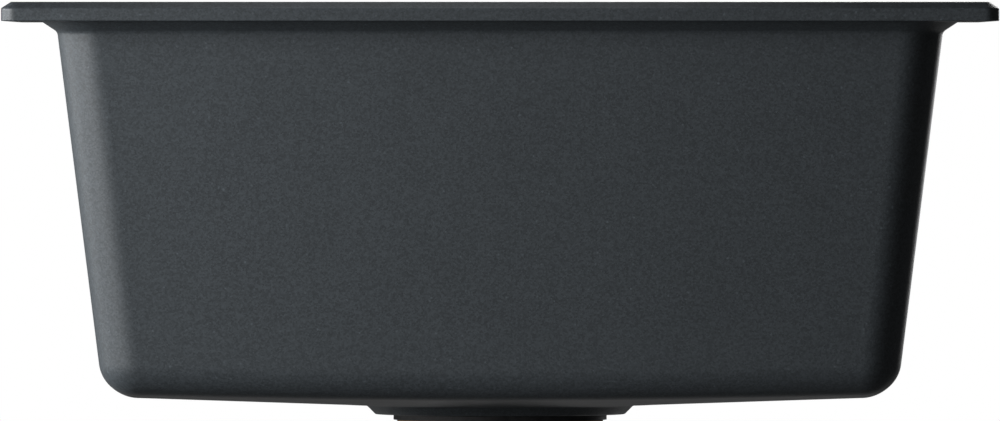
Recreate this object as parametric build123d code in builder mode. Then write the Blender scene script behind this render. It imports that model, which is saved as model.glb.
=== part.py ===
from build123d import *

import os
from math import cos, pi, radians, sqrt, tan

os.makedirs("parts", exist_ok=True)

# An undermount kitchen sink: one bowl cast in granite composite, threaded inserts moulded
# into the underside of its rim, and a basket strainer clamped through its floor.
# Millimetres, +Z up. The origin is the centre of the rim's top plane, which meets the
# underside of the countertop. X runs along the long side, and -Y is the front.

# Rim
rim_length = 546.0
rim_width = 457.0
rim_thickness = 10.5
rim_corner_radius = 8.0
rim_chamfer_in = 5.5
rim_chamfer_down = 3.5
rim_edge_rounding = 1.2
rim_under_rounding = 0.6

# Gusset between the rim and the walls, all round
ledge_width = 20.8
gusset_run = 9.0
gusset_drop = 5.9
gusset_corner_growth = 1.5
gusset_rounding = 4.0

# Bowl
overall_depth = 229.5
wall_draft = 7.0
wall_thickness = 9.5
floor_thickness = 9.5
floor_fall = 1.98
bowl_corner_radius = 22.0
bowl_bottom_radius = 20.0
mouth_rounding = 4.0

# Boss under the drain
boss_radius = 69.6
boss_height = 5.0
boss_root_rounding = 3.5
boss_edge_rounding = 1.6

# Threaded inserts in the rim
insert_radius = 4.5
insert_length = 7.0
insert_bore_radius = 2.5
insert_bore_depth = 6.0
insert_mouth_chamfer = 0.4
insert_groove_depth = 0.5
insert_groove_width = 1.6
insert_inset = 11.0
insert_from_end = 83.0
insert_from_front = 88.5
moulded_clearance = 0.02

# Strainer body, pressed from steel sheet
strainer_sheet = 1.5
throat_radius = 40.5
throat_depth = 34.0
throat_rounding = 4.0
flare_height = 5.2
flange_width = 15.0
flange_setback = 0.5
flange_rounding = 1.5
dish_drop = 6.0
dish_rounding = 6.0
outlet_radius = 23.8
outlet_length = 24.0
outlet_rounding = 2.5
hole_clearance = 3.0
recess_clearance = 1.5
recess_rounding = 1.0
thread_pitch = 2.2
thread_depth = 0.6
thread_in_hole = 3.0

# Seals and locknut that clamp the strainer body to the bowl
rim_gasket_width = 8.0
rim_gasket_thickness = 1.5
rim_gasket_setback = 0.5
boss_gasket_width = 17.0
boss_gasket_thickness = 3.0
friction_washer_width = 15.0
friction_washer_thickness = 1.0
washer_clearance = 0.5
locknut_height = 12.0
locknut_wall = 8.0
locknut_clearance = 0.2
locknut_chamfer = 1.0
lug_count = 6
lug_reach = 6.0
lug_width = 13.0
lug_height = 8.0

# Basket that hangs in the strainer's flare
basket_sheet = 0.8
basket_clearance = 1.5
basket_taper = 4.5
basket_rounding = 4.0
basket_lip_rounding = 2.0
basket_bead_radius = 0.9
basket_bead_setback = 0.7
basket_bead_inset = 0.3
basket_seat_gap = 0.3
basket_hole_radius = 1.9
basket_hole_spacing = 8.4
floor_ring_count = 3
floor_ring_start = 14.5
floor_ring_pitch = 6.2
wall_row_count = 2
wall_row_start = 6.5
wall_row_pitch = 5.5

# Bushing that guides the stopper's rod through the basket
bushing_radius = 7.0
bushing_height = 8.0
bushing_neck_radius = 5.8
bushing_shoulder_radius = 9.0
bushing_shoulder_height = 1.6
bushing_rivet_height = 1.0
bushing_chamfer = 0.6
ring_section = 1.5
ring_clearance = 0.1
running_clearance = 0.08

# Stopper that slides in the bushing
stopper_travel = 8.0
stop_gap = 0.3
rod_radius = 3.0
rod_chamfer = 0.5
detent_depth = 0.35
seal_radius = 31.0
seal_plug_radius = 20.0
seal_thickness = 3.0
seal_seat_gap = 0.3
seal_rounding = 0.8
retainer_radius = 14.0
retainer_thickness = 1.0
nut_across_flats = 10.0
nut_height = 4.0
knob_gap = 1.2
knob_height = 17.0
knob_radius = 13.0
knob_brim = 5.0
knob_foot_radius = 6.0
knob_waist_radius = 4.6
knob_rounding = 1.4
rod_in_knob = 12.0

# How far cutting forms run past what they cut, and how closely edges and faces are told apart
overrun = 3.0
level_tolerance = 0.01
height_tolerance = 0.01
foot_tolerance = 0.3

# Slopes and radii that follow
wall_slope = tan(radians(wall_draft))
floor_slope = tan(radians(floor_fall))
gusset_slope = gusset_run / gusset_drop
gusset_depth = rim_thickness + gusset_drop
wall_inset = ledge_width + gusset_run - gusset_depth * wall_slope
boss_root_radius = boss_radius + boss_height
thread_radius = throat_radius + strainer_sheet
drain_hole_radius = thread_radius + hole_clearance
flange_radius = thread_radius + flange_width
recess_radius = flange_radius + recess_clearance
outlet_bore_radius = outlet_radius - strainer_sheet
cup_radius = throat_radius - basket_clearance
rod_bore_radius = rod_radius + running_clearance
past_corners = rim_length
standing = (Align.CENTER, Align.CENTER, Align.MIN)


def wall_plan(depth, inset):
    """Length and width of the bowl's walls at a depth, moved inwards by an inset."""
    run = wall_inset + depth * wall_slope + inset
    return rim_length - 2 * run, rim_width - 2 * run


def gusset_plan(depth):
    """Length, width and corner radius of the gusset at a depth, its corners rounder than the walls'."""
    run = ledge_width + (depth - rim_thickness) * gusset_slope
    corner = bowl_corner_radius + gusset_corner_growth + (gusset_depth - depth) * gusset_slope
    return rim_length - 2 * run, rim_width - 2 * run, corner


def underside_height(radius):
    """Height of the bowl's conical underside, which falls towards the boss."""
    return boss_height - overall_depth + (radius - boss_root_radius) * floor_slope


def floor_height(radius):
    """Height of the bowl's floor, which is parallel to the underside."""
    return underside_height(radius) + floor_thickness / cos(radians(floor_fall))


def turned_profile(*corners):
    """A closed profile beside the Z axis. A corner is its radius, height and rounding."""
    with BuildSketch(Plane.XZ) as profile:
        with BuildLine():
            FilletPolyline(
                [corner[:2] for corner in corners],
                radius=[corner[2] for corner in corners],
                close=True,
            )
        make_face()
    return profile.sketch


def sheet_profile(thickness, *corners):
    """The section of a pressed sheet beside the Z axis, on the left of a path of corners."""
    with BuildSketch(Plane.XZ) as profile:
        with BuildLine():
            FilletPolyline(
                [corner[:2] for corner in corners],
                radius=[corner[2] for corner in corners[1:-1]],
            )
            offset(amount=thickness, side=Side.LEFT)
        make_face()
    return profile.sketch


def ring_profile(inner_radius, outer_radius, bottom, top):
    """The rectangular section of a ring."""
    return turned_profile(
        (inner_radius, bottom, 0),
        (outer_radius, bottom, 0),
        (outer_radius, top, 0),
        (inner_radius, top, 0),
    )


def is_level(edge):
    """Whether an edge runs level at its middle."""
    return abs(edge.tangent_at(0.5).Z) < level_tolerance


def drafted_block(top, inset, corner_radius):
    """A block down past the bowl's depth, with the walls' draft and rounded corners."""
    length, width = wall_plan(-top, inset)
    height = top + overall_depth + overrun
    draft = height * wall_slope
    with BuildPart(Plane.XY.offset(top)) as block:
        Wedge(
            length,
            height,
            width,
            xmin=draft,
            zmin=draft,
            xmax=length - draft,
            zmax=width - draft,
            rotation=(-90, 0, 0),
            align=(Align.CENTER, Align.MIN, Align.CENTER),
        )
        fillet(block.edges().filter_by(lambda edge: not is_level(edge)), corner_radius)
    return block.part


def edges_around_cone(block):
    """The edges where a block's conical bottom meets its walls."""
    cone = block.faces().filter_by(GeomType.CONE).sort_by(SortBy.AREA)[-1]
    seam_or_circle = (GeomType.LINE, GeomType.CIRCLE)
    return cone.edges().filter_by(lambda edge: edge.geom_type not in seam_or_circle)


def finish(block, name):
    """Label a finished piece and write its file."""
    block.part.label = name
    export_step(block.part, f"parts/{name}.step")


# Levels of the strainer, from its seat in the floor down to its outlet
seat_height = floor_height(recess_radius) - rim_gasket_thickness - strainer_sheet - flange_setback
flange_under = seat_height + rim_gasket_thickness
flange_top = flange_under + strainer_sheet
dish_top = flange_top - throat_depth
dish_bottom = dish_top - dish_drop
outlet_end = dish_bottom - outlet_length
dish_slope = dish_drop / (throat_radius - outlet_bore_radius)

# Levels of the stack that clamps it, from the boss down
boss_bottom = -overall_depth
friction_washer_top = boss_bottom - boss_gasket_thickness
locknut_top = friction_washer_top - friction_washer_thickness
locknut_bottom = locknut_top - locknut_height

# Levels of the stopper at rest, closed on the dish, and of the basket above it
seal_edge = dish_top - (throat_radius - seal_radius) * dish_slope + seal_seat_gap * sqrt(1 + dish_slope**2)
seal_bottom = seal_edge - (seal_radius - seal_plug_radius) * dish_slope
seal_top = seal_edge + seal_thickness
retainer_top = seal_top + retainer_thickness
rivet_bottom = retainer_top + stopper_travel + stop_gap
cup_bottom = rivet_bottom + bushing_rivet_height
cup_floor = cup_bottom + basket_sheet
bushing_top = cup_floor + bushing_height
ring_height = cup_floor + bushing_height / 2
knob_bottom = bushing_top + knob_gap
knob_top = knob_bottom + knob_height
rod_bottom = seal_bottom - nut_height - rod_chamfer
rod_top = knob_bottom + rod_in_knob


# The bowl's outside below the rim: drafted walls, a conical underside and the drain's boss
with BuildPart() as bowl_form:
    add(drafted_block(0, 0, bowl_corner_radius))
    above_underside = turned_profile(
        (0, 0, 0),
        (past_corners, 0, 0),
        (past_corners, underside_height(past_corners), 0),
        (boss_root_radius, underside_height(boss_root_radius), boss_root_rounding),
        (boss_radius, boss_bottom, boss_edge_rounding),
        (0, boss_bottom, 0),
    )
    revolve(above_underside, Axis.Z, mode=Mode.INTERSECT)
    fillet(edges_around_cone(bowl_form), bowl_bottom_radius)

# The bowl's inside: parallel walls and floor, the strainer's recess and the drain hole
with BuildPart() as bowl_space:
    wall_inset_inside = wall_thickness / cos(radians(wall_draft))
    add(drafted_block(overrun, wall_inset_inside, bowl_corner_radius - wall_thickness))
    above_floor = turned_profile(
        (0, overrun, 0),
        (past_corners, overrun, 0),
        (past_corners, floor_height(past_corners), 0),
        (recess_radius, floor_height(recess_radius), recess_rounding),
        (recess_radius, seat_height, 0),
        (drain_hole_radius, seat_height, recess_rounding),
        (drain_hole_radius, boss_bottom - overrun, 0),
        (0, boss_bottom - overrun, 0),
    )
    revolve(above_floor, Axis.Z, mode=Mode.INTERSECT)
    fillet(edges_around_cone(bowl_space), bowl_bottom_radius - floor_thickness)

# Where the threaded inserts sit, by name: three along each long side, two along each short side
insert_x = rim_length / 2 - insert_inset
insert_y = rim_width / 2 - insert_inset
end_insert_x = rim_length / 2 - insert_from_end
side_insert_y = rim_width / 2 - insert_from_front
insert_places = {}
for side, y in (("front", -insert_y), ("back", insert_y)):
    for place, x in (("left", -end_insert_x), ("middle", 0), ("right", end_insert_x)):
        insert_places[f"insert_{side}_{place}"] = (x, y)
for side, x in (("left", -insert_x), ("right", insert_x)):
    for place, y in (("front", -side_insert_y), ("back", side_insert_y)):
        insert_places[f"insert_{side}_{place}"] = (x, y)

# The casting: rim, gusset and bowl in one piece
with BuildPart() as sink_bowl:
    with BuildSketch():
        RectangleRounded(rim_length, rim_width, rim_corner_radius)
    extrude(amount=-rim_thickness)
    rim_top = sink_bowl.faces().sort_by(Axis.Z)[-1]
    chamfer(rim_top.edges(), rim_chamfer_in, rim_chamfer_down, reference=rim_top)
    chamfer_edges = sink_bowl.edges().filter_by(is_level).filter_by_position(
        Axis.Z, -rim_chamfer_down - height_tolerance, height_tolerance
    )
    fillet(chamfer_edges, rim_edge_rounding)
    fillet(sink_bowl.faces().sort_by(Axis.Z)[0].edges(), rim_under_rounding)
    add(bowl_form.part)
    for depth in (rim_thickness - overrun, gusset_depth + overrun):
        with BuildSketch(Plane.XY.offset(-depth)):
            RectangleRounded(*gusset_plan(depth))
    loft(ruled=True)
    gusset_foot = sink_bowl.edges().filter_by_position(
        Axis.Z, -gusset_depth - foot_tolerance, -gusset_depth + foot_tolerance
    )
    fillet(gusset_foot, gusset_rounding)
    ledge = sink_bowl.faces().filter_by_position(
        Axis.Z, -rim_thickness - height_tolerance, -rim_thickness + height_tolerance
    )[0]
    fillet(ledge.inner_wires()[0].edges(), gusset_rounding)
    add(bowl_space.part, mode=Mode.SUBTRACT)
    rim_top = sink_bowl.faces().sort_by(Axis.Z)[-1]
    fillet(rim_top.inner_wires()[0].edges(), mouth_rounding)
    with Locations(*[(x, y, -rim_thickness) for x, y in insert_places.values()]):
        Cylinder(
            insert_radius + moulded_clearance,
            insert_length,
            align=standing,
            mode=Mode.SUBTRACT,
        )
finish(sink_bowl, "sink_bowl")

# Threaded inserts, flush with the rim's underside, with a groove that the casting grips
for name, (x, y) in insert_places.items():
    with BuildPart(Plane((x, y, -rim_thickness))) as rim_insert:
        Cylinder(insert_radius - insert_groove_depth, insert_length, align=standing)
        collar_length = (insert_length - insert_groove_width) / 2
        with Locations((0, 0, 0), (0, 0, insert_length - collar_length)):
            Cylinder(insert_radius, collar_length, align=standing)
        Cylinder(insert_bore_radius, insert_bore_depth, align=standing, mode=Mode.SUBTRACT)
        mouth = rim_insert.edges().group_by(Axis.Z)[0].sort_by(SortBy.RADIUS)[0]
        chamfer(mouth, insert_mouth_chamfer)
    finish(rim_insert, name)

# Strainer body: flange, flare, threaded throat, dish and outlet in one pressing
with BuildPart() as strainer_body:
    pressing = sheet_profile(
        strainer_sheet,
        (flange_radius, flange_top, 0),
        (throat_radius + flare_height, flange_top, flange_rounding),
        (throat_radius, flange_top - flare_height, throat_rounding),
        (throat_radius, dish_top, dish_rounding),
        (outlet_bore_radius, dish_bottom, outlet_rounding),
        (outlet_bore_radius, outlet_end, 0),
    )
    revolve(pressing, Axis.Z)
    thread_top = boss_bottom + thread_in_hole
    thread_turns = int((thread_top - dish_top) / thread_pitch)
    for turn in range(thread_turns):
        crest = thread_top - turn * thread_pitch
        groove = turned_profile(
            (thread_radius + thread_depth, crest, 0),
            (thread_radius - thread_depth, crest - thread_pitch / 2, 0),
            (thread_radius + thread_depth, crest - thread_pitch, 0),
        )
        revolve(groove, Axis.Z, mode=Mode.SUBTRACT)
finish(strainer_body, "strainer_body")

# Rim gasket, squeezed between the flange and the seat in the bowl's recess
with BuildPart() as rim_gasket:
    gasket_radius = flange_radius - rim_gasket_setback
    revolve(ring_profile(gasket_radius - rim_gasket_width, gasket_radius, seat_height, flange_under), Axis.Z)
finish(rim_gasket, "rim_gasket")

# Boss gasket and friction washer, stacked under the boss
washer_radius = thread_radius + washer_clearance
with BuildPart() as boss_gasket:
    revolve(
        ring_profile(washer_radius, washer_radius + boss_gasket_width, friction_washer_top, boss_bottom),
        Axis.Z,
    )
finish(boss_gasket, "boss_gasket")

with BuildPart() as friction_washer:
    revolve(
        ring_profile(washer_radius, washer_radius + friction_washer_width, locknut_top, friction_washer_top),
        Axis.Z,
    )
finish(friction_washer, "friction_washer")

# Locknut: a bored ring with lugs round its lower half for the spanner
with BuildPart() as locknut:
    locknut_bore = thread_radius + locknut_clearance
    locknut_radius = locknut_bore + locknut_wall
    with BuildSketch(Plane.XY.offset(locknut_bottom)):
        Circle(locknut_radius)
        with PolarLocations(locknut_radius, lug_count):
            Rectangle(2 * lug_reach, lug_width)
    extrude(amount=lug_height)
    with BuildSketch(Plane.XY.offset(locknut_bottom)):
        Circle(locknut_radius)
    extrude(amount=locknut_height)
    chamfer(locknut.edges().group_by(Axis.Z)[-1], locknut_chamfer)
    with BuildSketch(Plane.XY.offset(locknut_bottom)):
        Circle(locknut_bore)
    extrude(amount=locknut_height, mode=Mode.SUBTRACT)
finish(locknut, "locknut")

# Basket: a perforated cup whose lip hangs in the flare, with a bead round its edge
with BuildPart() as basket_cup:
    lip_rise = basket_seat_gap * sqrt(2)
    lip_run = throat_radius + flare_height - basket_bead_setback
    bead_height = flange_top - basket_bead_setback + (basket_seat_gap + basket_bead_radius) * sqrt(2)
    pressing = sheet_profile(
        basket_sheet,
        (bushing_neck_radius + moulded_clearance, cup_bottom, 0),
        (cup_radius - basket_taper, cup_bottom, basket_rounding),
        (cup_radius, flange_top - flare_height - basket_clearance + lip_rise, basket_lip_rounding),
        (lip_run, flange_top - basket_bead_setback + lip_rise, 0),
    )
    revolve(pressing, Axis.Z)
    with BuildSketch(Plane.XZ):
        with Locations((lip_run - basket_bead_inset, bead_height)):
            Circle(basket_bead_radius)
    revolve(axis=Axis.Z)
    floor_punch = 2 * (basket_sheet + overrun)
    for ring in range(floor_ring_count):
        ring_radius = floor_ring_start + ring * floor_ring_pitch
        with Locations((0, 0, cup_bottom)):
            with PolarLocations(ring_radius, int(2 * pi * ring_radius / basket_hole_spacing)):
                Cylinder(basket_hole_radius, floor_punch, mode=Mode.SUBTRACT)
    wall_punch = 2 * (basket_taper + basket_sheet + overrun)
    wall_hole_count = int(2 * pi * cup_radius / basket_hole_spacing)
    for row in range(wall_row_count):
        with Locations((0, 0, cup_bottom + wall_row_start + row * wall_row_pitch)):
            with PolarLocations(cup_radius, wall_hole_count):
                Cylinder(basket_hole_radius, wall_punch, rotation=(0, 90, 0), mode=Mode.SUBTRACT)
finish(basket_cup, "basket_cup")

# Bushing riveted through the basket's floor, with a groove for the detent ring
with BuildPart() as basket_bushing:
    groove_half = ring_section / 2 + ring_clearance
    groove_radius = rod_bore_radius + ring_section + ring_clearance
    section = turned_profile(
        (rod_bore_radius, rivet_bottom, 0),
        (bushing_radius, rivet_bottom, bushing_rivet_height / 3),
        (bushing_radius, cup_bottom, 0),
        (bushing_neck_radius, cup_bottom, 0),
        (bushing_neck_radius, cup_floor, 0),
        (bushing_shoulder_radius, cup_floor, 0),
        (bushing_shoulder_radius, cup_floor + bushing_shoulder_height, bushing_shoulder_height / 3),
        (bushing_radius, cup_floor + bushing_shoulder_height, 0),
        (bushing_radius, bushing_top, bushing_chamfer),
        (rod_bore_radius, bushing_top, 0),
        (rod_bore_radius, ring_height + groove_half, 0),
        (groove_radius, ring_height + groove_half, 0),
        (groove_radius, ring_height - groove_half, 0),
        (rod_bore_radius, ring_height - groove_half, 0),
    )
    revolve(section, Axis.Z)
finish(basket_bushing, "basket_bushing")

# Detent ring: a rubber ring in the bushing's groove that snaps into the rod's two grooves
with BuildPart() as detent_ring:
    with BuildSketch(Plane.XZ):
        with Locations((rod_bore_radius + ring_section / 2, ring_height)):
            Circle(ring_section / 2)
    revolve(axis=Axis.Z)
finish(detent_ring, "detent_ring")

# Lift rod: from the nut under the seal up into the knob, grooved for both of its positions
with BuildPart() as lift_rod:
    with BuildSketch(Plane.XY.offset(rod_bottom)):
        Circle(rod_radius)
    extrude(amount=rod_top - rod_bottom)
    chamfer(lift_rod.edges().group_by(Axis.Z)[0], rod_chamfer)
    for ring_on_rod in (ring_height, ring_height - stopper_travel):
        groove = turned_profile(
            (rod_radius + detent_depth, ring_on_rod + 2 * detent_depth, 0),
            (rod_radius - detent_depth, ring_on_rod, 0),
            (rod_radius + detent_depth, ring_on_rod - 2 * detent_depth, 0),
        )
        revolve(groove, Axis.Z, mode=Mode.SUBTRACT)
finish(lift_rod, "lift_rod")

# Seal: a rubber disc whose rim closes on the dish, with a plug that enters the outlet
rod_hole_radius = rod_radius + moulded_clearance
with BuildPart() as stopper_seal:
    section = turned_profile(
        (rod_hole_radius, seal_bottom, 0),
        (seal_plug_radius, seal_bottom, seal_rounding),
        (seal_radius, seal_edge, seal_rounding),
        (seal_radius, seal_top, seal_rounding),
        (rod_hole_radius, seal_top, 0),
    )
    revolve(section, Axis.Z)
finish(stopper_seal, "stopper_seal")

# Retainer washer above the seal, and the nut that holds both on the rod
with BuildPart() as seal_retainer:
    revolve(
        ring_profile(rod_hole_radius, retainer_radius, seal_top, retainer_top),
        Axis.Z,
    )
finish(seal_retainer, "seal_retainer")

with BuildPart() as seal_nut:
    with BuildSketch(Plane.XY.offset(seal_bottom)):
        RegularPolygon(nut_across_flats / 2, 6, major_radius=False)
        Circle(rod_hole_radius, mode=Mode.SUBTRACT)
    extrude(amount=-nut_height)
finish(seal_nut, "seal_nut")

# Knob: a waisted foot under a broad brim, bored for the rod
with BuildPart() as knob:
    section = turned_profile(
        (0, knob_bottom, 0),
        (knob_foot_radius, knob_bottom, knob_rounding / 2),
        (knob_waist_radius, knob_bottom + (knob_height - knob_brim) / 2, knob_rounding),
        (knob_radius - knob_brim / 2, knob_top - knob_brim, knob_rounding),
        (knob_radius, knob_top - knob_brim / 2, knob_rounding),
        (knob_radius - knob_brim / 2, knob_top, knob_rounding),
        (0, knob_top, 0),
    )
    revolve(section, Axis.Z)
    with BuildSketch(Plane.XY.offset(knob_bottom)):
        Circle(rod_hole_radius)
    extrude(amount=rod_in_knob, mode=Mode.SUBTRACT)
finish(knob, "knob")
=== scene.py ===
import bpy
import numpy as np
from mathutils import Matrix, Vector


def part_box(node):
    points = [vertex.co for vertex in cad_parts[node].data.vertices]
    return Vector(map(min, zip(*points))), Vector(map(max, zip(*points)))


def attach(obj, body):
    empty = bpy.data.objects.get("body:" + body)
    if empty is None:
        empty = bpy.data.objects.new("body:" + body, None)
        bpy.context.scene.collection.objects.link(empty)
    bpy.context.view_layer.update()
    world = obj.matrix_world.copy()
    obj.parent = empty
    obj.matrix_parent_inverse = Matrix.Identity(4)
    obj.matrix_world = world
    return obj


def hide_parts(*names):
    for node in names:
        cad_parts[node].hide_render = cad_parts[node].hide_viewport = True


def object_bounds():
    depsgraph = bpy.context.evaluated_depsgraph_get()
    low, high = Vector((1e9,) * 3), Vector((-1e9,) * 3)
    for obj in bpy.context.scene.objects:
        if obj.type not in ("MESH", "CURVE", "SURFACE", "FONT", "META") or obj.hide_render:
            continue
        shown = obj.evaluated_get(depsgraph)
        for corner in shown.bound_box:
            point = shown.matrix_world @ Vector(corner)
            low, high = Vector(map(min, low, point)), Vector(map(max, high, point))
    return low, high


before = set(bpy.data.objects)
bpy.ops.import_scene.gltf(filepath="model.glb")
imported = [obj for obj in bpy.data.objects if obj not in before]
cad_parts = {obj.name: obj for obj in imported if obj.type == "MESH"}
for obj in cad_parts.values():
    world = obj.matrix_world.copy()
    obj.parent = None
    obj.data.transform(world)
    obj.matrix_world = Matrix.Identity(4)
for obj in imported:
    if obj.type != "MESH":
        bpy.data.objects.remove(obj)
cad_low, cad_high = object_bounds()

# Sizes in metres. The casting's plan and depth and the locknut's outside come from their parts in
# model.glb, and the rest is the real sink's.
MM = 0.001
FULL_TURN = 2 * np.pi

RIM_LOW, RIM_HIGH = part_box("sink_bowl")
RIM_LENGTH = RIM_HIGH.x - RIM_LOW.x
RIM_WIDTH = RIM_HIGH.y - RIM_LOW.y
DEPTH = RIM_HIGH.z - RIM_LOW.z

RIM_THICKNESS = 10.5 * MM
RIM_CORNER = 8.0 * MM
CHAMFER_IN = 5.5 * MM
CHAMFER_DOWN = 3.5 * MM
EDGE_ROUNDING = 1.2 * MM
UNDER_ROUNDING = 0.6 * MM
LEDGE = 20.8 * MM
GUSSET_RUN = 9.0 * MM
GUSSET_DROP = 5.9 * MM
GUSSET_DEPTH = RIM_THICKNESS + GUSSET_DROP
COVE = 4.0 * MM
MOUTH_ROUNDING = 4.0 * MM

# The walls' drafted lines pass these insets from the rim's edge at the level of its top. WALL_FOOT is
# a height a little over the bends at their lower ends.
WALL = 9.5 * MM
WALL_SLOPE = np.tan(np.radians(7.0))
BOTTOM_RADIUS = 20.0 * MM
WALL_FOOT = BOTTOM_RADIUS * 2 - DEPTH
WALL_INSET = LEDGE + GUSSET_RUN - GUSSET_DEPTH * WALL_SLOPE
INNER_INSET = WALL_INSET + WALL * np.hypot(1, WALL_SLOPE)
BOWL_CORNER = 22.0 * MM
INNER_CORNER = BOWL_CORNER - WALL
CORNER_GROWTH = 1.5 * MM
GUSSET_CORNER = BOWL_CORNER + CORNER_GROWTH

# The underside and the floor fall gently from the left and right, and more steeply from the front
# and back. Where a wall bends into them, their slope is measured over SLOPE_STEP, on a plan whose
# corners have SLOPE_CORNER more radius than the bend leaves them.
SLOPE_FROM_SIDES = np.tan(np.radians(1.98))
SLOPE_FROM_FRONT = np.tan(np.radians(3.5))
SLOPE_BLEND = 15.0 * MM
SLOPE_STEP = 0.1 * MM
SLOPE_CORNER = 3.0 * MM

BOSS_RADIUS = 69.6 * MM
BOSS_HEIGHT = 5.0 * MM
BOSS_ROOT_ROUNDING = 3.5 * MM
BOSS_EDGE_ROUNDING = 1.6 * MM
DRAIN_RADIUS = 45.0 * MM
RECESS_RADIUS = 58.5 * MM
RECESS_DEPTH = 3.5 * MM
RECESS_ROUNDING = 1.0 * MM

# How many roundings the drain's section runs on past its first and its last corner.
RUN_OUT = 4

INSERT_RADIUS = 4.52 * MM
INSERT_DEPTH = 7.0 * MM
INSERT_INSET = 11.0 * MM
INSERT_SPREAD_X = 190.0 * MM
INSERT_SPREAD_Y = 140.0 * MM
CUTTER_START = 2.0 * MM

NUT_LOW, NUT_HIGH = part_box("locknut")
NUT_LUGS = 6
NUT_REACH = 6.0 * MM
NUT_RADIUS = NUT_HIGH.x - NUT_REACH
NUT_BORE = NUT_RADIUS - 8.0 * MM
NUT_CHAMFER = 1.0 * MM
BORE_CHAMFER = 0.7 * MM
LUG_WIDTH = 13.0 * MM
LUG_HEIGHT = 8.0 * MM
LUG_ROUNDING = 1.1 * MM
NUT_ROUNDING = LUG_ROUNDING / 4

# Edges that turn by more degrees than this stay crisp.
CREASE = 40

# The composite: its middle colour, its grains' darkest and lightest tones and its flecks' against
# that, and how many grains and chips lie along a metre.
COMPOSITE_COLOUR = (0.046, 0.0548, 0.062)
GRAIN_DARK, GRAIN_LIGHT = 0.72, 1.28
FLECK = 1.45
GRAINS_PER_METRE = 1100.0
CHIPS_PER_METRE = 420.0


# ---------------------------------------------------------------- surfaces

def surface(name, grid, shut_rows=False):
    """A mesh from a grid of points, rows by columns by 3. Each face joins four neighbours of the
    grid. The last column always joins the first, and the last row does where the rows are shut."""
    rows, columns = grid.shape[:2]
    row = np.arange(rows if shut_rows else rows - 1)
    row, column = np.meshgrid(row, np.arange(columns), indexing="ij")
    next_row, next_column = (row + 1) % rows, (column + 1) % columns
    corners = [(row, column), (row, next_column), (next_row, next_column), (next_row, column)]
    quads = np.stack([r * columns + c for r, c in corners], axis=-1).reshape(-1, 4)
    mesh = bpy.data.meshes.new(name)
    mesh.vertices.add(rows * columns)
    mesh.vertices.foreach_set("co", grid.reshape(-1).astype(np.float32))
    mesh.loops.add(quads.size)
    mesh.loops.foreach_set("vertex_index", quads.reshape(-1).astype(np.int32))
    mesh.polygons.add(len(quads))
    mesh.polygons.foreach_set("loop_start", np.arange(0, quads.size, 4, dtype=np.int32))
    mesh.polygons.foreach_set("use_smooth", np.ones(len(quads), dtype=bool))
    mesh.update(calc_edges=True)
    return placed(name, mesh)


def placed(name, data):
    """A new object in the scene, at the origin, for a mesh, a light or a camera."""
    added = bpy.data.objects.new(name, data)
    bpy.context.scene.collection.objects.link(added)
    return added


def paint(piece, name, values):
    """Store one number per point of a piece, for its material to read."""
    layer = piece.data.attributes.new(name, "FLOAT", "POINT")
    layer.data.foreach_set("value", values.reshape(-1).astype(np.float32))


def eased(count):
    """Shares from 0 to 1, closer together near both ends: half of 1 minus the cosine of an even turn."""
    return (1 - np.cos(np.pi * np.arange(count + 1) / count)) / 2


def spun(radius, bearing, height):
    """Points at a radius from the Z axis, a bearing round it and a height, as X, Y and Z."""
    parts = np.broadcast_arrays(radius * np.cos(bearing), radius * np.sin(bearing), height)
    return np.stack(parts, axis=-1)


def rounded_path(corners, run_steps, arc_steps):
    """Straight runs joined by tangent arcs. A corner is its place and radius. Its arc starts and
    ends radius times the tangent of half the turn away from it, about a centre on the bisector.
    Returns the points and each one's station: the number of its corner, and a share of the way on."""
    places = np.array([corner[:2] for corner in corners])
    runs = np.diff(places, axis=0)
    lengths = np.hypot(*runs.T)
    headings = runs / lengths[:, None]
    points, stations = [places[:1]], [np.zeros(1)]
    for i in range(1, len(corners)):
        start, start_station = points[-1][-1], stations[-1][-1]
        radius = corners[i][2] if i < len(corners) - 1 else 0
        if radius:
            before, after = headings[i - 1], headings[i]
            turn = np.arctan2(np.cross(before, after), before @ after)
            reach = radius * np.tan(abs(turn) / 2)
            arc_start = places[i] - before * reach
            centre = arc_start + radius * np.sign(turn) * np.array([-before[1], before[0]])
            angle = np.arctan2(*(arc_start - centre)[::-1]) + turn * np.linspace(0, 1, arc_steps + 1)
            arc = centre + radius * np.stack([np.cos(angle), np.sin(angle)], axis=-1)
            arc_stations = np.linspace(i - reach / lengths[i - 1], i + reach / lengths[i], arc_steps + 1)
        else:
            arc, arc_stations = places[i : i + 1], np.array([float(i)])
        share = eased(run_steps)[1:-1]
        points += [start + share[:, None] * (arc[0] - start), arc]
        stations += [start_station + share * (arc_stations[0] - start_station), arc_stations]
    return np.concatenate(points), np.concatenate(stations)


# ---------------------------------------------------------------- the casting

def plan_columns(arc_steps, long_steps, short_steps):
    """The columns round the casting's plan. Each has the signs of its corner's centre, which run
    from 1 to -1 along the sides, and the direction of its normal, which turns in the corners."""
    signs = [(1, 1), (-1, 1), (-1, -1), (1, -1)]
    centre_x, centre_y, direction = [], [], []
    for i, (x, y) in enumerate(signs):
        next_x, next_y = signs[(i + 1) % 4]
        arc = np.linspace(0, 1, arc_steps + 1)
        side = eased(long_steps if next_y == y else short_steps)[1:-1]
        centre_x += [np.full(arc.size, x), x + side * (next_x - x)]
        centre_y += [np.full(arc.size, y), y + side * (next_y - y)]
        direction += [(i + arc) * np.pi / 2, np.full(side.size, (i + 1) * np.pi / 2)]
    return np.concatenate(centre_x), np.concatenate(centre_y), np.concatenate(direction)


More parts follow.
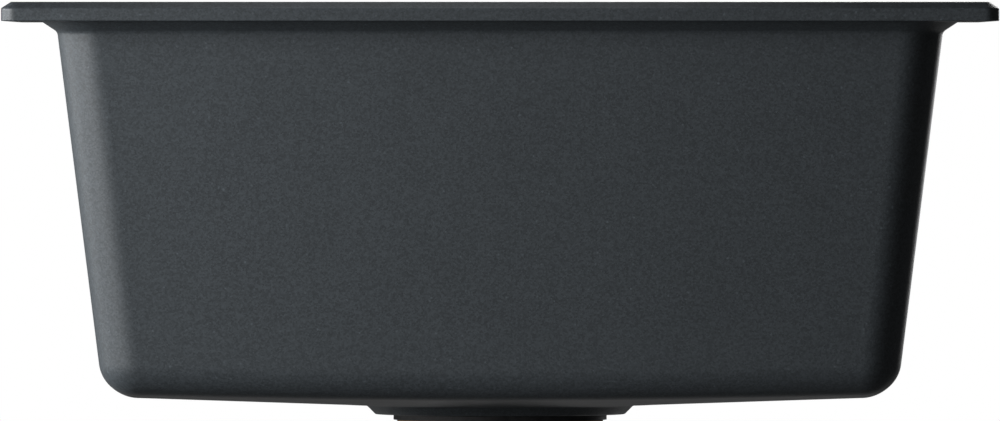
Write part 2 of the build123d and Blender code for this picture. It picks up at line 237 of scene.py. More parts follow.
def plan_points(columns, inset, corner):
    """Points on a rounded rectangle, moved in from the rim's edge by an inset: the corner's centre
    plus the corner's radius along the normal."""
    sign_x, sign_y, direction = columns
    x = sign_x * (RIM_LENGTH / 2 - inset - corner) + corner * np.cos(direction)
    y = sign_y * (RIM_WIDTH / 2 - inset - corner) + corner * np.sin(direction)
    return x, y


def underside_height(x, y):
    """Height of the underside. It falls along straight rays to the boss, gently from the left and
    right and more steeply from the front and back, because the floor's edge is nearly level. The
    added fall grows with the squared sine of the ray's turn, and fades in outside the boss, whose
    cone stands at 45 degrees."""
    radius = np.hypot(x, y)
    beyond = radius - BOSS_RADIUS - BOSS_HEIGHT
    faded = (beyond + np.hypot(beyond, SLOPE_BLEND)) / 2
    added = (SLOPE_FROM_FRONT - SLOPE_FROM_SIDES) * (y / radius) ** 2
    return BOSS_HEIGHT - DEPTH + beyond * SLOPE_FROM_SIDES + faded * added


def floor_height(x, y):
    """Height of the floor, a wall's thickness over the underside."""
    return underside_height(x, y) + WALL * np.hypot(1, SLOPE_FROM_SIDES)


def bottom_bend(columns, wall_inset, corner, radius, height_at, steps):
    """The bend between a drafted wall and the floor or the underside. In the section along each
    column's normal both are lines, the bend's centre lies a radius from both, and the bend turns
    from one normal to the other. Returns the insets, heights and corner radii, steps by columns."""
    near = wall_inset + (DEPTH - radius) * WALL_SLOPE + radius
    x, y = plan_points(columns, near, corner - radius + SLOPE_CORNER)
    outward = height_at(x + SLOPE_STEP * np.cos(columns[2]), y + SLOPE_STEP * np.sin(columns[2]))
    fall = (outward - height_at(x, y)) / SLOPE_STEP
    wall_normal = np.array([1, WALL_SLOPE]) / np.hypot(1, WALL_SLOPE)
    floor_normal = np.stack([fall, np.ones_like(fall)]) / np.hypot(1, fall)
    wall_reach = wall_inset * wall_normal[0] + radius
    floor_reach = near * floor_normal[0] + height_at(x, y) * floor_normal[1] + radius
    spread = wall_normal[0] * floor_normal[1] - wall_normal[1] * floor_normal[0]
    centre_inset = (wall_reach * floor_normal[1] - wall_normal[1] * floor_reach) / spread
    centre_height = (wall_normal[0] * floor_reach - wall_reach * floor_normal[0]) / spread
    first = np.arctan2(wall_normal[1], wall_normal[0])
    last = np.arctan2(floor_normal[1], floor_normal[0])
    angle = first + np.linspace(0, 1, steps + 1)[:, None] * (last - first)
    inset = centre_inset - radius * np.cos(angle)
    height = centre_height - radius * np.sin(angle)
    return inset, height, corner - (inset - inset[0])


# The edges that get rubbed and are lightened, partly for wear and partly as a painted highlight, by the
# number of their corner in the two sections that follow, and the corner where the drain's hole starts.
CHAMFER_FOOT, CHAMFER_TOP, MOUTH = 4, 5, 6
HOLE_TOP, BOSS_EDGE = 3, 5


def upper_section():
    """The section from the outer wall up round the rim and down the inner wall: straight runs and
    tangent arcs, as insets from the rim's edge and heights. The plan's corner radius changes evenly
    from one corner of the section to the next. Returns insets, heights, radii and stations."""
    section = [
        (WALL_INSET - WALL_FOOT * WALL_SLOPE, WALL_FOOT, 0, BOWL_CORNER),
        (LEDGE + GUSSET_RUN, -GUSSET_DEPTH, COVE, GUSSET_CORNER),
        (LEDGE, -RIM_THICKNESS, COVE, GUSSET_CORNER + GUSSET_RUN),
        (0, -RIM_THICKNESS, UNDER_ROUNDING, RIM_CORNER),
        (0, -CHAMFER_DOWN, EDGE_ROUNDING, RIM_CORNER),
        (CHAMFER_IN, 0, EDGE_ROUNDING, RIM_CORNER - CHAMFER_IN),
        (INNER_INSET, 0, MOUTH_ROUNDING, INNER_CORNER + MOUTH_ROUNDING),
        (INNER_INSET - WALL_FOOT * WALL_SLOPE, WALL_FOOT, 0, INNER_CORNER),
    ]
    path, stations = rounded_path([corner[:3] for corner in section], run_steps=12, arc_steps=8)
    radii = np.interp(stations, np.arange(len(section)), [corner[3] for corner in section])
    return path[:, :1], path[:, 1:], radii[:, None], stations


def drain_section():
    """The section from the floor down the recess and the hole and back over the boss to the
    underside: straight runs and tangent arcs, as radii and heights. Both its ends lie a few
    roundings past the last corner. Returns radii, heights and stations."""
    brim = RECESS_RADIUS + RUN_OUT * RECESS_ROUNDING
    seat = floor_height(RECESS_RADIUS, 0) - RECESS_DEPTH
    root = BOSS_RADIUS + BOSS_HEIGHT
    beyond = root + RUN_OUT * BOSS_ROOT_ROUNDING
    path, stations = rounded_path(
        [
            (brim, floor_height(brim, 0), 0),
            (RECESS_RADIUS, floor_height(RECESS_RADIUS, 0), RECESS_ROUNDING),
            (RECESS_RADIUS, seat, 0),
            (DRAIN_RADIUS, seat, RECESS_ROUNDING),
            (DRAIN_RADIUS, -DEPTH, 0),
            (BOSS_RADIUS, -DEPTH, BOSS_EDGE_ROUNDING),
            (root, underside_height(root, 0), BOSS_ROOT_ROUNDING),
            (beyond, underside_height(beyond, 0), 0),
        ],
        run_steps=4,
        arc_steps=6,
    )
    return path[:, :1], path[:, 1:], stations


def rows_between(first, last, height_at, steps):
    """The rows of points from one row to another: straight in plan, at the surface's height."""
    rows = first + eased(steps)[1:-1, None, None] * (last - first)
    rows[..., 2] = height_at(rows[..., 0], rows[..., 1])
    return rows


def near_corner(stations, corner, share):
    """Which points of a section lie within a share of a run on either side of a corner."""
    return np.abs(stations - corner) < share


def casting_grid():
    """The casting as one skin that is shut both ways: rows run from the boss out over the
    underside, up the outside, round the rim, down the inside and back through the drain. Returns
    the points, and for each whether it is on a rubbed edge, whose colour is lightened partly for
    wear and partly as a painted highlight, and whether it is inside the bowl."""
    columns = plan_columns(arc_steps=20, long_steps=44, short_steps=36)
    inner_radius = BOTTOM_RADIUS - WALL
    outer = bottom_bend(columns, WALL_INSET, BOWL_CORNER, BOTTOM_RADIUS, underside_height, steps=16)
    *upper, stations = upper_section()
    inner = bottom_bend(columns, INNER_INSET, INNER_CORNER, inner_radius, floor_height, steps=12)
    insets, heights, radii = (
        np.concatenate([np.broadcast_to(part, (len(part), columns[0].size)) for part in parts])
        for parts in zip([bend[::-1] for bend in outer], upper, inner)
    )
    walls = np.stack([*plan_points(columns, insets, radii), heights], axis=-1)

    # Past the bends, rays over the underside and the floor lead to the drain's circles.
    radius, height, drain_stations = drain_section()
    drain = spun(radius, np.arctan2(walls[0, :, 1], walls[0, :, 0]), height)
    drain[0, :, 2] = floor_height(drain[0, :, 0], drain[0, :, 1])
    drain[-1, :, 2] = underside_height(drain[-1, :, 0], drain[-1, :, 1])
    floor = rows_between(walls[-1], drain[0], floor_height, steps=26)
    under = rows_between(drain[-1], walls[0], underside_height, steps=26)

    # Handling rubs the convex edges, which are also lightened as a painted highlight, and the bowl's
    # inside is finished smoother.
    rubbed_and_highlit = near_corner(stations, CHAMFER_FOOT, 0.2) | near_corner(stations, CHAMFER_TOP, 0.1)
    rubbed_and_highlit |= near_corner(stations, MOUTH, 0.05)
    rubbed_highlit_boss = near_corner(drain_stations, BOSS_EDGE, 0.2)
    inside = stations > MOUTH - 0.1
    inside_drain = drain_stations < HOLE_TOP + 0.5
    outside_rows, inside_rows = len(outer[0]), len(inner[0]) + len(floor)
    rubbed_highlit_edge = [np.zeros(outside_rows), rubbed_and_highlit, np.zeros(inside_rows), rubbed_highlit_boss, np.zeros(len(under))]
    served = [np.zeros(outside_rows), inside, np.ones(inside_rows), inside_drain, np.zeros(len(under))]
    each_column = np.ones(columns[0].size)
    rubbed_highlit_edge, served = (np.outer(np.concatenate(rows), each_column) for rows in (rubbed_highlit_edge, served))
    return np.concatenate([walls, floor, drain, under]), rubbed_highlit_edge, served


def insert_places():
    """The middles of the threaded inserts along the rim's underside, three on each long side and
    two at each end, all at one inset from the rim's edge."""
    reach_x, reach_y = RIM_LENGTH / 2 - INSERT_INSET, RIM_WIDTH / 2 - INSERT_INSET
    long_sides = [(x, y) for x in (-INSERT_SPREAD_X, 0.0, INSERT_SPREAD_X) for y in (-reach_y, reach_y)]
    ends = [(x, y) for x in (-reach_x, reach_x) for y in (-INSERT_SPREAD_Y, INSERT_SPREAD_Y)]
    return np.array(long_sides + ends)


def pocket_cutter(sides):
    """One drum for each insert: a circle about its middle, from under the rim up to its depth."""
    places = insert_places()
    angle = FULL_TURN * np.arange(sides) / sides
    circle = INSERT_RADIUS * np.stack([np.cos(angle), np.sin(angle)], axis=-1)
    plan = places[:, None, None, :] + circle
    plan = np.broadcast_to(plan, (len(places), 2, sides, 2))
    heights = np.array([-RIM_THICKNESS - CUTTER_START, INSERT_DEPTH - RIM_THICKNESS])
    heights = np.broadcast_to(heights[None, :, None, None], (*plan.shape[:3], 1))
    points = np.concatenate([plan, heights], axis=-1)
    step = np.arange(sides)
    ahead = (step + 1) % sides
    wall = np.stack([step, ahead, ahead + sides, step + sides], axis=-1)
    first = 2 * sides * np.arange(len(places))[:, None]
    walls = (first[:, :, None] + wall).reshape(-1, 4).tolist()
    lids = (first + step[::-1]).tolist() + (first + sides + step).tolist()
    mesh = bpy.data.meshes.new("insert_pockets")
    mesh.from_pydata(points.reshape(-1, 3), [], walls + lids)
    return placed("insert_pockets", mesh)


def make_casting():
    """The bowl and its rim in one casting, less the drums that are the inserts' pockets."""
    grid, rubbed_highlit_edge, served = casting_grid()
    casting = surface("composite_casting", grid, shut_rows=True)
    # The edge marks are the rubbed edges whose colour is lightened: partly wear, partly a painted
    # highlight.
    paint(casting, "rubbed_highlit_edge", rubbed_highlit_edge)
    paint(casting, "served", served)
    cutter = pocket_cutter(sides=40)
    cut = casting.modifiers.new("pockets", "BOOLEAN")
    cut.operation, cut.solver, cut.object = "DIFFERENCE", "EXACT", cutter
    solid = casting.evaluated_get(bpy.context.evaluated_depsgraph_get())
    skin = bpy.data.meshes.new_from_object(solid)
    casting.modifiers.clear()
    casting.data = skin
    bpy.data.objects.remove(cutter)
    return casting


# ---------------------------------------------------------------- the locknut

def lug_columns():
    """The bearings round the locknut, and how far out of the ring each one reaches, from 0 to 1. A
    lug's sides are parallel, and its outline has a small arc at each of its four corners."""
    root = np.arcsin(LUG_WIDTH / 2 / NUT_RADIUS) * NUT_RADIUS
    tip = np.arcsin(LUG_WIDTH / 2 / (NUT_RADIUS + NUT_REACH)) * NUT_RADIUS
    half = np.pi / NUT_LUGS * NUT_RADIUS
    outline, _ = rounded_path(
        [
            (-half, 0, 0),
            (-root, 0, LUG_ROUNDING),
            (-tip, NUT_REACH, LUG_ROUNDING),
            (tip, NUT_REACH, LUG_ROUNDING),
            (root, 0, LUG_ROUNDING),
            (half, 0, 0),
        ],
        run_steps=6,
        arc_steps=5,
    )
    along, out = outline[:-1].T
    turn = FULL_TURN * np.arange(NUT_LUGS)[:, None] / NUT_LUGS
    return (turn + along / NUT_RADIUS).reshape(-1), np.tile(out / NUT_REACH, NUT_LUGS)


def make_locknut():
    """The cast locknut. Its ring is one section carried round the Z axis. Each point of its outer
    wall moves in a straight line to its place on a lug, by the share that lug_columns gives."""
    low, top = NUT_LOW.z, NUT_HIGH.z
    shoulder = top - NUT_CHAMFER - LUG_ROUNDING / 2
    lug_radius = NUT_RADIUS + NUT_REACH
    ring, _ = rounded_path(
        [
            (NUT_BORE + BORE_CHAMFER, low, 0),
            (NUT_BORE, low + BORE_CHAMFER, NUT_ROUNDING),
            (NUT_BORE, top - BORE_CHAMFER, NUT_ROUNDING),
            (NUT_BORE + BORE_CHAMFER, top, NUT_ROUNDING),
            (NUT_RADIUS - NUT_CHAMFER, top, NUT_ROUNDING),
            (NUT_RADIUS, top - NUT_CHAMFER, NUT_ROUNDING),
            (NUT_RADIUS, shoulder, 0),
        ],
        run_steps=3,
        arc_steps=3,
    )
    lug, _ = rounded_path(
        [
            (NUT_RADIUS, shoulder, 0),
            (NUT_RADIUS, low + LUG_HEIGHT, LUG_ROUNDING),
            (lug_radius, low + LUG_HEIGHT, LUG_ROUNDING),
            (lug_radius, low, LUG_ROUNDING),
            (lug_radius - 2 * LUG_ROUNDING, low, 0),
        ],
        run_steps=5,
        arc_steps=5,
    )

    # Between the lugs the wall runs straight down to the same low rounding that a lug has.
    straight = lug[:, 1] >= low + LUG_ROUNDING
    wall = lug - np.array([NUT_REACH, 0.0])
    ends = (NUT_RADIUS, shoulder), (NUT_RADIUS, low + LUG_ROUNDING)
    wall[straight] = np.linspace(*ends, np.count_nonzero(straight))
    bearing, share = lug_columns()
    outside = wall[:, None] + share[:, None] * (lug - wall)[:, None]
    inside = np.broadcast_to(ring[:-1, None], (len(ring) - 1, bearing.size, 2))
    radius, height = np.moveaxis(np.concatenate([inside, outside])[::-1], -1, 0)
    return surface("cast_locknut", spun(radius, bearing, height), shut_rows=True)


# ---------------------------------------------------------------- finishes

def new_finish(name):
    """A new material, its node tree and its shader."""
    finish = bpy.data.materials.new(name)
    finish.use_nodes = True
    tree = finish.node_tree
    shader = next(each for each in tree.nodes if each.type == "BSDF_PRINCIPLED")
    return finish, tree, shader


def node(tree, kind, inputs, **settings):
    """Add a node, set its properties, and give each input a value or another node's output."""
    added = tree.nodes.new(kind)
    for key, value in settings.items():
        setattr(added, key, value)
    for key, value in inputs.items():
        if isinstance(value, bpy.types.NodeSocket):
            tree.links.new(value, added.inputs[key])
        else:
            added.inputs[key].default_value = value
    return added


def object_place(tree):
    """The place on the piece, in metres from the origin."""
    return node(tree, "ShaderNodeTexCoord", {}).outputs["Object"]


def painted(tree, name):
    """The number that a piece stores for each of its points under this name."""
    return node(tree, "ShaderNodeAttribute", {}, attribute_name=name).outputs["Fac"]


def stretched(tree, place, x, y, z):
    """The place with each axis scaled, for a grain that runs along one of them."""
    return node(tree, "ShaderNodeMapping", {"Vector": place, "Scale": (x, y, z)}).outputs[0]


def from_axis(tree, place):
    """The distance from the Z axis: the length of the place with its height left out."""
    flat = stretched(tree, place, 1.0, 1.0, 0.0)
    return node(tree, "ShaderNodeVectorMath", {0: flat}, operation="LENGTH").outputs["Value"]


def round_axis(tree, place):
    """The distance from the Z axis and the height, for marks that a lathe or a spinning die leaves."""
    height = node(tree, "ShaderNodeSeparateXYZ", {0: place}).outputs["Z"]
    return node(tree, "ShaderNodeCombineXYZ", {"X": from_axis(tree, place), "Y": height}).outputs[0]


def noise(tree, place, scale, detail):
    """Soft random blotches from 0 to 1: scale of them to a metre, with detail layers of finer ones."""
    inputs = {"Vector": place, "Scale": scale, "Detail": detail}
    return node(tree, "ShaderNodeTexNoise", inputs).outputs["Fac"]


def ranged(tree, value, low, high, start=0.0, stop=1.0):
    """The value moved from between start and stop to between low and high."""
    inputs = {"Value": value, "From Min": start, "From Max": stop, "To Min": low, "To Max": high}
    return node(tree, "ShaderNodeMapRange", inputs).outputs[0]


def combined(tree, operation, first, second):
    """Two values added, subtracted or multiplied."""
    return node(tree, "ShaderNodeMath", {0: first, 1: second}, operation=operation).outputs[0]


def tinted(tree, dark, light, share):
    """A colour between two others."""
    inputs = {"Factor": share, "A": (*dark, 1.0), "B": (*light, 1.0)}
    return node(tree, "ShaderNodeMix", inputs, data_type="RGBA").outputs["Result"]


def coat(tree, shader, colour, roughness, metallic=0.0):
    """Give the shader its colour and its roughness, and say how metallic it is."""
    tree.links.new(colour, shader.inputs["Base Color"])
    tree.links.new(roughness, shader.inputs["Roughness"])
    shader.inputs["Metallic"].default_value = metallic


def relief(tree, shader, height, strength, distance):
    """Fine unevenness of the surface."""
    bump = node(tree, "ShaderNodeBump", {"Height": height, "Strength": strength, "Distance": distance})
    tree.links.new(bump.outputs["Normal"], shader.inputs["Normal"])


def granite_finish():
    """Charcoal granite composite: quartz grains in a tinted resin, with a few pale flecks, a slow
    drift of tone, rubbed edges lightened partly by wear and partly by a painted highlight, and a
    smoother face inside the bowl. Its colour is the middle one times the tones of all of these."""
    finish, tree, shader = new_finish("charcoal_composite")
    place = object_place(tree)
    grains = node(tree, "ShaderNodeTexVoronoi", {"Vector": place, "Scale": GRAINS_PER_METRE})
    grain = node(tree, "ShaderNodeSeparateColor", {"Color": grains.outputs["Color"]})
    tone = ranged(tree, grain.outputs["Red"], GRAIN_DARK, GRAIN_LIGHT)
    drift = ranged(tree, noise(tree, place, scale=22.0, detail=4.0), 0.93, 1.07)

    # About one chip in twenty is pale, and only its middle shows.
    chips = node(tree, "ShaderNodeTexVoronoi", {"Vector": place, "Scale": CHIPS_PER_METRE})
    chip = node(tree, "ShaderNodeSeparateColor", {"Color": chips.outputs["Color"]})
    rare = ranged(tree, chip.outputs["Green"], 0.0, 1.0, start=0.93, stop=0.97)
    small = ranged(tree, chips.outputs["Distance"], 1.0, 0.0, start=0.22, stop=0.34)
    fleck = ranged(tree, combined(tree, "MULTIPLY", rare, small), 1.0, FLECK)

    # The rubbed edges are lightened in patches: partly wear, partly a painted highlight where light
    # catches them.
    rub_and_highlight_patches = ranged(tree, noise(tree, place, scale=140.0, detail=3.0), 0.2, 1.0, start=0.35, stop=0.65)
    patchy_rub_and_highlight = combined(tree, "MULTIPLY", painted(tree, "rubbed_highlit_edge"), rub_and_highlight_patches)
    rubbed_and_highlit = ranged(tree, patchy_rub_and_highlight, 1.0, 1.12)
    grained = combined(tree, "MULTIPLY", tone, drift)
    marked = combined(tree, "MULTIPLY", fleck, rubbed_and_highlit)
    level = combined(tree, "MULTIPLY", grained, marked)
    inputs = {"Factor": 1.0, "A": (*COMPOSITE_COLOUR, 1.0), "B": level}
    colour = node(tree, "ShaderNodeMix", inputs, data_type="RGBA", blend_type="MULTIPLY")

    uneven = ranged(tree, noise(tree, place, scale=60.0, detail=3.0), -0.03, 0.03)
    smooth = combined(tree, "ADD", ranged(tree, painted(tree, "served"), 0.55, 0.46), uneven)
    roughness = combined(tree, "SUBTRACT", smooth, ranged(tree, patchy_rub_and_highlight, 0.0, 0.08))
    coat(tree, shader, colour.outputs["Result"], roughness)
    gaps = ranged(tree, grains.outputs["Distance"], 0.0, 0.4)
    pits = combined(tree, "ADD", noise(tree, place, scale=900.0, detail=3.0), gaps)
    relief(tree, shader, pits, strength=0.35, distance=0.12 * MM)
    return finish


def turned_metal(name, dark, light, roughness, rings_per_metre, groove):
    """Metal that was spun or turned: fine rings about its axis, under faint water marks."""
    finish, tree, shader = new_finish(name)
    place = object_place(tree)
    along = stretched(tree, round_axis(tree, place), rings_per_metre, rings_per_metre, 1.0)
    rings = noise(tree, along, scale=1.0, detail=3.0)
    marks = ranged(tree, noise(tree, place, scale=90.0, detail=4.0), -0.08, 0.08, start=0.3, stop=0.7)
    worn = combined(tree, "ADD", rings, marks)
    colour = tinted(tree, dark, light, ranged(tree, worn, 0.0, 1.0, start=0.25, stop=0.75))
    coat(tree, shader, colour, ranged(tree, worn, *roughness, start=0.3, stop=0.7), metallic=1.0)
    relief(tree, shader, rings, strength=groove, distance=0.04 * MM)
    return finish


def drawn_metal(name, dark, light, roughness):
    """Metal drawn to a rod: streaks along the Z axis."""
    finish, tree, shader = new_finish(name)
    place = object_place(tree)
    streaks = noise(tree, stretched(tree, place, 3200.0, 3200.0, 90.0), scale=1.0, detail=2.0)
    marks = noise(tree, place, scale=160.0, detail=3.0)
    worn = combined(tree, "ADD", streaks, marks)
    colour = tinted(tree, dark, light, streaks)
    coat(tree, shader, colour, ranged(tree, worn, *roughness, start=0.6, stop=1.4), metallic=1.0)
    relief(tree, shader, streaks, strength=0.12, distance=0.03 * MM)
    return finish


def plated_metal(name, dark, light):
    """Bright plate with faint smears from fingers, duller where they lie."""
    finish, tree, shader = new_finish(name)
    place = object_place(tree)
    smears = noise(tree, stretched(tree, place, 1.0, 1.0, 0.45), scale=130.0, detail=4.0)
    waves = noise(tree, place, scale=35.0, detail=1.0)
    colour = tinted(tree, dark, light, ranged(tree, smears, 0.0, 1.0, start=0.3, stop=0.6))
    coat(tree, shader, colour, ranged(tree, smears, 0.16, 0.05, start=0.35, stop=0.65), metallic=1.0)
    relief(tree, shader, waves, strength=0.05, distance=0.4 * MM)
    return finish


def cast_metal(name, dark, light):
    """Die-cast metal: a dull grainy skin with flow patches."""
    finish, tree, shader = new_finish(name)
    place = object_place(tree)
    patches = noise(tree, place, scale=70.0, detail=5.0)
    grit = noise(tree, place, scale=1400.0, detail=2.0)
    flow = ranged(tree, patches, 0.3, 1.0, start=0.3, stop=0.7)
    share = combined(tree, "MULTIPLY", flow, ranged(tree, grit, 0.6, 1.0))
    roughness = ranged(tree, patches, 0.62, 0.4, start=0.3, stop=0.7)
    coat(tree, shader, tinted(tree, dark, light, share), roughness, metallic=0.9)
    relief(tree, shader, grit, strength=0.3, distance=0.1 * MM)
    return finish


def machined_brass(name):
    """Brass cut on an automatic lathe, gone brown in patches."""
    finish, tree, shader = new_finish(name)
    place = object_place(tree)
    cuts = noise(tree, stretched(tree, place, 120.0, 120.0, 5200.0), scale=1.0, detail=2.0)
    tarnish = noise(tree, place, scale=320.0, detail=4.0)
    share = ranged(tree, tarnish, 1.0, 0.0, start=0.38, stop=0.68)
    colour = tinted(tree, (0.36, 0.21, 0.08), (0.78, 0.57, 0.26), share)
    coat(tree, shader, colour, ranged(tree, tarnish, 0.2, 0.46, start=0.35, stop=0.7), metallic=1.0)
    relief(tree, shader, cuts, strength=0.15, distance=0.04 * MM)
    return finish


def moulded_rubber(name, dark, light, roughness):
    """Moulded black rubber with a bloom of dust."""
    finish, tree, shader = new_finish(name)
    place = object_place(tree)
    bloom = noise(tree, place, scale=120.0, detail=5.0)
    pores = noise(tree, place, scale=2400.0, detail=2.0)
    colour = tinted(tree, dark, light, ranged(tree, bloom, 0.0, 1.0, start=0.35, stop=0.75))
    coat(tree, shader, colour, ranged(tree, bloom, *roughness, start=0.3, stop=0.7))
    relief(tree, shader, pores, strength=0.2, distance=0.06 * MM)
    return finish


def pressed_fibre(name):
    """Vulcanised fibre board: short fibres that lie flat, crossing each other."""
    finish, tree, shader = new_finish(name)
    place = object_place(tree)
    one_way = noise(tree, stretched(tree, place, 260.0, 2600.0, 2600.0), scale=1.0, detail=2.0)
    other_way = noise(tree, stretched(tree, place, 2600.0, 260.0, 2600.0), scale=1.0, detail=2.0)
    fibres = combined(tree, "MULTIPLY", one_way, other_way)
    share = ranged(tree, fibres, 0.0, 1.0, start=0.12, stop=0.42)
    colour = tinted(tree, (0.2, 0.12, 0.065), (0.46, 0.33, 0.2), share)
    coat(tree, shader, colour, ranged(tree, share, 0.92, 0.76))
    relief(tree, shader, fibres, strength=0.4, distance=0.1 * MM)
    return finish


def moulded_plastic(name):
    """Milky bushing plastic with a fine mould grain."""
    finish, tree, shader = new_finish(name)
    place = object_place(tree)
    cloud = noise(tree, place, scale=220.0, detail=3.0)
    grain = noise(tree, place, scale=1800.0, detail=2.0)
    colour = tinted(tree, (0.6, 0.59, 0.54), (0.74, 0.73, 0.69), cloud)
    coat(tree, shader, colour, ranged(tree, grain, 0.34, 0.5))
    relief(tree, shader, grain, strength=0.12, distance=0.05 * MM)
    shader.inputs["Subsurface Weight"].default_value = 0.1
    shader.inputs["Subsurface Radius"].default_value = (2.0 * MM, 2.0 * MM, 1.5 * MM)
    return finish


# ---------------------------------------------------------------- pieces on their bodies

def dress(piece, finish):
    """Give a piece its finish, and mark as sharp the edges where its surface turns by more than a
    crease."""
    piece.data.set_sharp_from_angle(angle=np.radians(CREASE))
    piece.data.materials.append(finish)


casting = make_casting()
dress(casting, granite_finish())
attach(casting, "sink")
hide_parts("sink_bowl")

locknut = make_locknut()
dress(locknut, cast_metal("cast_zinc", dark=(0.2, 0.205, 0.21), light=(0.5, 0.505, 0.51)))
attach(locknut, "sink")
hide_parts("locknut")

spun_steel = turned_metal(
    "spun_strainer_steel",
    dark=(0.46, 0.46, 0.455),
    light=(0.74, 0.73, 0.72),
    roughness=(0.2, 0.36),
    rings_per_metre=2600.0,
    groove=0.22,
)
pressed_steel = turned_metal(
    "pressed_basket_steel",
    dark=(0.5, 0.5, 0.495),
    light=(0.78, 0.78, 0.77),
    roughness=(0.12, 0.26),
    rings_per_metre=1700.0,
    groove=0.1,
)
drawn_steel = drawn_metal(
    "drawn_rod_steel",
    dark=(0.42, 0.42, 0.42),
    light=(0.66, 0.66, 0.65),
    roughness=(0.18, 0.32),
)
gasket_rubber = moulded_rubber(
    "black_gasket_rubber",
    dark=(0.012, 0.012, 0.013),
    light=(0.05, 0.05, 0.052),
    roughness=(0.6, 0.78),
)
stopper_rubber = moulded_rubber(
    "stopper_rubber",
    dark=(0.01, 0.01, 0.01),
    light=(0.03, 0.03, 0.032),
    roughness=(0.42, 0.6),
)
ring_rubber = moulded_rubber(
    "ring_rubber_black",
    dark=(0.008, 0.008, 0.008),
    light=(0.02, 0.02, 0.02),
    roughness=(0.3, 0.45),
)
strainer_finishes = {
    "strainer_body": spun_steel,
    "basket_cup": pressed_steel,
    "knob": plated_metal("bright_knob_plate", dark=(0.6, 0.6, 0.61), light=(0.82, 0.82, 0.83)),
    "lift_rod": drawn_steel,
    "seal_retainer": drawn_steel,
    "seal_nut": drawn_steel,
    "rim_gasket": gasket_rubber,
    "boss_gasket": gasket_rubber,
    "stopper_seal": stopper_rubber,
    "detent_ring": ring_rubber,
    "friction_washer": pressed_fibre("vulcanised_fibre"),
    "basket_bushing": moulded_plastic("milky_bushing"),
}
brass = machined_brass("machined_brass")
for name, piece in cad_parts.items():
    finish = brass if name.startswith("insert_") else strainer_finishes.get(name)
    if finish:
        for slot in piece.material_slots:
            slot.material = finish


# ---------------------------------------------------------------- studio

SKY = 0.058
FLOOR_GAP = 0.5 * MM
FLOOR_RADIUS = 1.5
FLOOR_GLOW = 0.78
GLOW_START, GLOW_STOP = 0.35, 0.97 * FLOOR_RADIUS


def make_floor():
    """A round pale floor under the outlet, which goes over to the backdrop's white at its edge: its
    glow grows with the distance from its middle. It is clear from beneath, so that the sink's
    underside shows."""
    bearing = -FULL_TURN * np.arange(128) / 128
    radius = np.concatenate([[0.5 * MM], np.linspace(0.1, FLOOR_RADIUS, 15)])[:, None]
    floor = surface("floor", spun(radius, bearing, cad_low.z - FLOOR_GAP))
    finish, tree, shader = new_finish("pale_paper")
    place = object_place(tree)
    fibres = noise(tree, place, scale=350.0, detail=3.0)
    colour = tinted(tree, (0.74, 0.74, 0.735), (0.82, 0.82, 0.815), fibres)
    tree.links.new(colour, shader.inputs["Base Color"])
    shader.inputs["Roughness"].default_value = 0.9
    glow = ranged(tree, from_axis(tree, place), FLOOR_GLOW, 1.0, start=GLOW_START, stop=GLOW_STOP)
    shader.inputs["Emission Color"].default_value = (1.0, 1.0, 1.0, 1.0)
    tree.links.new(glow, shader.inputs["Emission Strength"])
    behind = node(tree, "ShaderNodeNewGeometry", {}).outputs["Backfacing"]
    clear = node(tree, "ShaderNodeBsdfTransparent", {}).outputs[0]
    sides = node(tree, "ShaderNodeMixShader", {0: behind, 1: shader.outputs[0], 2: clear})
    output = next(each for each in tree.nodes if each.type == "OUTPUT_MATERIAL")
    tree.links.new(sides.outputs[0], output.inputs["Surface"])
    floor.data.materials.append(finish)
    floor.visible_diffuse = False
    floor.visible_glossy = False
    floor.visible_shadow = False


FRONT_HALF = (0, -0.1, -DEPTH / 2)


def soft_light(name, azimuth, elevation, distance, size, watts, aim=FRONT_HALF):
    """A rectangular softbox that faces the casting's front half, or another place. The azimuth
    turns from the front, -Y, over the left, -X, to the back, and the elevation rises from level,
    both in degrees."""
    turn, rise = np.radians(azimuth), np.radians(elevation)
    way = Vector((-np.sin(turn) * np.cos(rise), -np.cos(turn) * np.cos(rise), np.sin(rise)))
    data = bpy.data.lights.new(name, "AREA")
    data.shape = "RECTANGLE"
    data.size, data.size_y = size
    data.energy = watts
    lamp = placed(name, data)
    lamp.location = Vector(aim) + distance * way
    lamp.rotation_mode = "QUATERNION"
    lamp.rotation_quaternion = (-way).to_track_quat("-Z", "Y")
    lamp.visible_camera = False
    return lamp


def light_only(lamp, pieces):
    """Keep a light from all pieces but these."""
    lit = bpy.data.collections.new(lamp.name + "_pieces")
    for piece in pieces:
        lit.objects.link(piece)
    lamp.light_linking.receiver_collection = lit


def make_world():
    """White where the camera looks past the sink, and a faint grey light from all round."""
    world = bpy.data.worlds.new("studio")
    world.use_nodes = True
    tree = world.node_tree
    tree.nodes.clear()
    seen = node(tree, "ShaderNodeLightPath", {}).outputs["Is Camera Ray"]
    dim = node(tree, "ShaderNodeBackground", {"Color": (1.0, 1.0, 1.0, 1.0), "Strength": SKY})
    white = node(tree, "ShaderNodeBackground", {"Color": (1.0, 1.0, 1.0, 1.0), "Strength": 1.0})
    mix = node(tree, "ShaderNodeMixShader", {0: seen, 1: dim.outputs[0], 2: white.outputs[0]})
    node(tree, "ShaderNodeOutputWorld", {"Surface": mix.outputs[0]})
    bpy.context.scene.world = world


# The photograph's frame in pixels, and where the rim's ends and top lie in it.
IMAGE_WIDTH, IMAGE_HEIGHT = 1000, 421
RIM_LEFT_COLUMN, RIM_RIGHT_COLUMN = 0.9, 999.3
RIM_TOP_ROW = 1.8
CAMERA_HEIGHT = -30.0 * MM


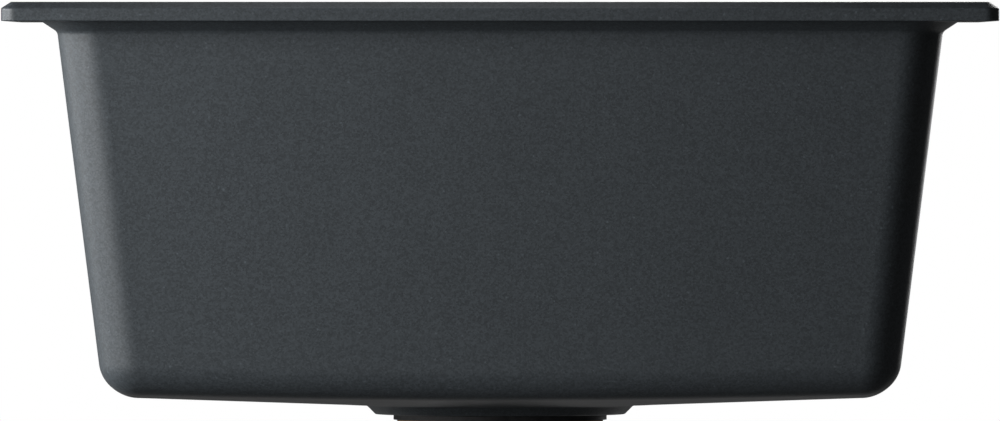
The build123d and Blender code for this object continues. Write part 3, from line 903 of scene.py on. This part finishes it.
def make_camera():
    """A long lens just under the rim's level, aimed at the middle of the casting's front."""
    data = bpy.data.cameras.new("camera")
    data.sensor_width = 36.0
    data.lens = 700.0
    data.clip_start, data.clip_end = 0.5, 60.0
    camera = placed("camera", data)
    pixel = RIM_LENGTH / (RIM_RIGHT_COLUMN - RIM_LEFT_COLUMN)
    front = RIM_LOW.y + RIM_CORNER
    across = (IMAGE_WIDTH - RIM_LEFT_COLUMN - RIM_RIGHT_COLUMN) / 2 * pixel
    distance = pixel * IMAGE_WIDTH * data.lens / data.sensor_width
    camera.location = (across, front - distance, CAMERA_HEIGHT)
    aim = Vector((across, front, (RIM_TOP_ROW - IMAGE_HEIGHT / 2) * pixel))
    camera.rotation_mode = "QUATERNION"
    camera.rotation_quaternion = (aim - camera.location).to_track_quat("-Z", "Y")
    bpy.context.scene.camera = camera


make_floor()
make_world()
make_camera()
soft_light("side_light", azimuth=96, elevation=5, distance=1.45, size=(0.35, 0.7), watts=11.5)
soft_light("key_light", azimuth=60, elevation=10, distance=1.45, size=(0.35, 0.35), watts=14.2)
soft_light("front_light", azimuth=48, elevation=2, distance=1.45, size=(0.35, 0.35), watts=8.3)
soft_light("back_light", azimuth=-165, elevation=28, distance=1.8, size=(1.2, 0.5), watts=14)
soft_light("right_light", azimuth=-148, elevation=6, distance=1.6, size=(0.4, 0.6), watts=6.0)
soft_light("low_light", azimuth=180, elevation=-30, distance=1.8, size=(3.0, 0.5), watts=2.4)

# A narrow beam lights the bowl's inside, and a broad softbox shows in the fittings' gloss.
bowl_light = soft_light(
    "bowl_light",
    azimuth=90,
    elevation=77,
    distance=1.1,
    size=(0.34, 0.3),
    watts=0.4,
    aim=(0.025, 0, -DEPTH),
)
bowl_light.data.spread = np.radians(20)
light_only(bowl_light, [casting])
fittings_light = soft_light(
    "fittings_light", azimuth=90, elevation=80, distance=1.5, size=(2.0, 2.0), watts=8.0
)
light_only(fittings_light, [locknut] + [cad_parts[name] for name in strainer_finishes])
bpy.context.scene.view_settings.view_transform = "Standard"
